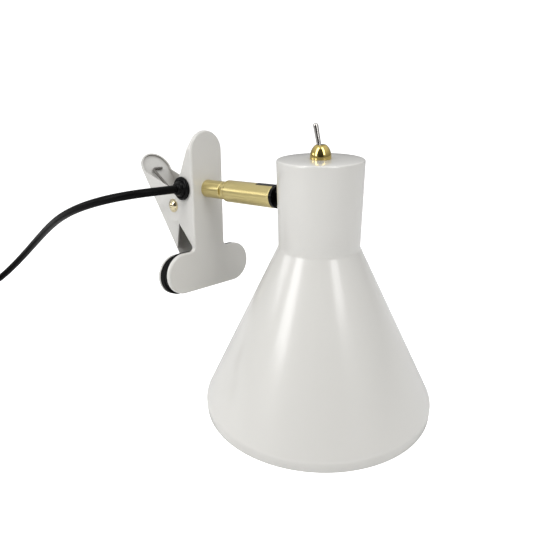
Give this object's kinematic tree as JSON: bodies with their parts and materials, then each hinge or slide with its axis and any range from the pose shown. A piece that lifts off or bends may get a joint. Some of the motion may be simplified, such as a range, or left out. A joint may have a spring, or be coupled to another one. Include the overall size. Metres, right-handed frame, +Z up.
{
  "type": "clip-on reading lamp",
  "caption": "Clip-on reading lamp: conical metal shade with a toggle switch on top, on a short brass swivel arm, held by a sprung clip with rubber pads.",
  "frame": {"origin": "on the shade's axis, on the surface that the rim of the shade stands on", "axes": "+Z up along the shade's axis; the clip is on the +Y side and the arm runs along Y; the cord leaves the clip towards -X"},
  "size_m": [0.2589, 0.4424, 0.1719],
  "materials": {
    "warm_white_paint": "satin",
    "black_rubber": "matte",
    "pale_brass": "polished",
    "satin_brass": "satin turned",
    "polished_brass": "polished",
    "spring_steel": "drawn wire",
    "cord_jacket": "satin",
    "plug_plastic": "matte",
    "tie_plastic": "matte",
    "nickel_plate": "polished",
    "dark_steel": "blackened",
    "black_plastic": "semi-gloss",
    "zinc_steel": "zinc plated",
    "holder_plastic": "moulded",
    "ceramic_white": "glazed",
    "chrome_plate": "mirror",
    "lead_brown": "matte",
    "lead_blue": "matte"
  },
  "bodies": {
    "clip": {"front_jaw": "warm_white_paint", "front_pad": "black_rubber", "pivot_pin": "pale_brass", "pin_washer_a": "pale_brass", "pin_washer_b": "pale_brass", "spring_coil": "spring_steel", "cord_grommet": "black_rubber", "inner_lead": "cord_jacket", "arm_post": "satin_brass", "post_nut": "zinc_steel", "post_washer": "zinc_steel", "cord_tube": "cord_jacket", "cord_coil": "cord_jacket", "cord_tie": "tie_plastic", "cord_tail": "cord_jacket", "plug_relief": "plug_plastic", "plug_body": "plug_plastic", "plug_pin_a": "nickel_plate", "plug_pin_b": "nickel_plate"},
    "rear_grip": {"rear_jaw": "warm_white_paint", "rear_pad": "black_rubber", "spring_leg": "spring_steel"},
    "arm": {"arm_sleeve": "satin_brass", "friction_washer": "black_plastic", "grub_screw": "dark_steel", "swivel_insert": "black_plastic", "swivel_pin": "dark_steel"},
    "shade": {"shade_shell": "warm_white_paint", "swivel_tongue": "black_plastic", "saddle_washer": "zinc_steel", "tongue_nut": "zinc_steel", "holder_bracket": "zinc_steel", "holder_nipple": "zinc_steel", "nipple_nut": "zinc_steel", "cap_washer": "zinc_steel", "holder_cap": "holder_plastic", "holder_body": "holder_plastic", "lamp_shell": "pale_brass", "contact_base": "ceramic_white", "centre_contact": "pale_brass", "switch_body": "black_plastic", "switch_bushing": "chrome_plate", "switch_locknut": "chrome_plate", "dome_cap": "polished_brass", "terminal_a": "pale_brass", "terminal_b": "pale_brass", "switch_lead_a": "lead_brown", "switch_lead_b": "lead_blue"},
    "toggle": {"toggle_lever": "chrome_plate"}
  },
  "joints": [
    {"name": "jaw_hinge", "type": "hinge", "parent": "clip", "child": "rear_grip", "pos_m": [-0.00084, 0.11824, 0.11021], "axis": [0.9977, -0.0036, -0.0679], "range_deg": [0, 35], "stiffness_Nm_per_rad": 0.8, "springref_deg": -28.65},
    {"name": "arm_swivel", "type": "hinge", "parent": "clip", "child": "arm", "pos_m": [0, 0.0362, 0.1269], "axis": [0, 0.9986, -0.0523], "range_deg": [-150, 150]},
    {"name": "shade_tilt", "type": "hinge", "parent": "arm", "child": "shade", "pos_m": [0, 0.0362, 0.1269], "axis": [-1, 0, 0], "range_deg": [-20, 35]},
    {"name": "switch_toggle", "type": "hinge", "parent": "shade", "child": "toggle", "pos_m": [0, 0, 0.1551], "axis": [1, 0, 0], "range_deg": [0, 27.4]}
  ]
}
